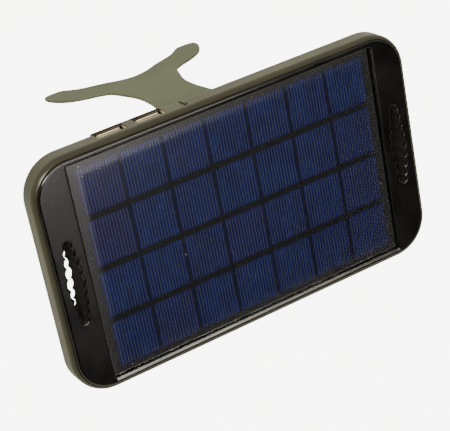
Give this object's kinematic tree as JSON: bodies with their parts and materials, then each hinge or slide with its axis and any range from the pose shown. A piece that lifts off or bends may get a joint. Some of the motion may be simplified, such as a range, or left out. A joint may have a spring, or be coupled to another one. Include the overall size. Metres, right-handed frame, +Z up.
{
  "type": "solar phone charger",
  "caption": "Slim solar charger with a recessed cell panel, USB outlets, scalloped strap slots and a fold-out fork stand on its back.",
  "frame": {"origin": "on the ground under the middle of the box that holds the charger standing on its open stand", "axes": "+X along the case's long edge, to the right of someone who faces the panel; +Y away from that person; +Z up"},
  "size_m": [0.19, 0.1406, 0.0813],
  "materials": {
    "case_plastic": "fine satin grain",
    "bezel_plastic": "fine satin grain",
    "stand_plastic": "fine satin grain",
    "steel": "satin",
    "panel_film": "clear, slightly hazy",
    "solar_cell": "blue crystalline with printed silver lines",
    "panel_board": "dark laminate",
    "tape": "white foam tape",
    "wire_red": "smooth insulation",
    "wire_black": "smooth insulation",
    "pouch_foil": "satin laminated foil",
    "foam": "open foam",
    "nickel": "bright",
    "circuit_board": "solder mask",
    "socket_metal": "bright plated",
    "socket_plastic": "cream moulding",
    "contact_gold": "bright plated",
    "chip_black": "moulded package",
    "capacitor": "ceramic"
  },
  "bodies": {
    "case": {"rear_housing": "case_plastic", "front_frame": "bezel_plastic", "hinge_pin": "steel", "panel_film": "panel_film", "cell_row_1": "solar_cell", "cell_row_2": "solar_cell", "cell_row_3": "solar_cell", "cell_row_4": "solar_cell", "panel_board": "panel_board", "panel_tape": "tape", "panel_lead_red": "wire_red", "panel_lead_black": "wire_black", "battery_left": "pouch_foil", "battery_right": "pouch_foil", "battery_pads": "foam", "battery_tabs": "nickel", "protection_board": "circuit_board", "battery_lead_red": "wire_red", "battery_lead_black": "wire_black", "main_board": "circuit_board", "usb_shell_left": "socket_metal", "usb_shell_right": "socket_metal", "usb_tongue_left": "socket_plastic", "usb_tongue_right": "socket_plastic", "usb_contacts_left": "contact_gold", "usb_contacts_right": "contact_gold", "controller_chip": "chip_black", "boost_coils": "chip_black", "capacitors": "capacitor", "blocking_diode": "chip_black", "button_switch": "chip_black", "housing_screws": "steel"},
    "stand": {"stand_plate": "stand_plastic"},
    "button": {"power_button": "case_plastic"}
  },
  "joints": [
    {"name": "stand_fold", "type": "hinge", "parent": "case", "child": "stand", "pos_m": [0, 0.0082, 0.06672], "axis": [-1, 0, 0], "range_deg": [0, 90]},
    {"name": "button_press", "type": "slide", "parent": "case", "child": "button", "axis": [0, -0.7418, -0.6706], "range_m": [0, 0.0004], "stiffness_N_per_m": 600}
  ]
}
